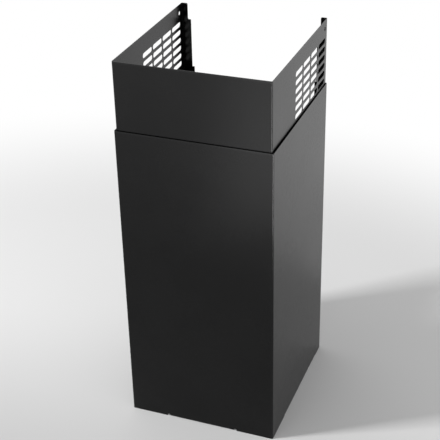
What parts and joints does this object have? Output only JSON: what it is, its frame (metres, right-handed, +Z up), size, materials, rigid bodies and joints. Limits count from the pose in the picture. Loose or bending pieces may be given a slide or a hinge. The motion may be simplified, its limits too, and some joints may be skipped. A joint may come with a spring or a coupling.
{
  "type": "telescopic cooker hood chimney",
  "caption": "Telescopic cooker hood chimney, open at the back, of folded black sheet: a slotted upper sleeve slides in a lower sleeve.",
  "frame": {"origin": "middle of the base, on the plane that the chimney stands on", "axes": "+Z up along the chimney and along the upper sleeve's travel, -Y out of the front panel, +Y towards the wall"},
  "size_m": [0.24, 0.262, 0.605],
  "materials": {
    "black_sheet": "satin black powder coat"
  },
  "bodies": {
    "lower": {"lower_sleeve": "black_sheet"},
    "upper": {"upper_sleeve": "black_sheet"}
  },
  "joints": [
    {"name": "telescope", "type": "slide", "parent": "lower", "child": "upper", "axis": [0, 0, 1], "range_m": [-0.103, 0.35]}
  ]
}
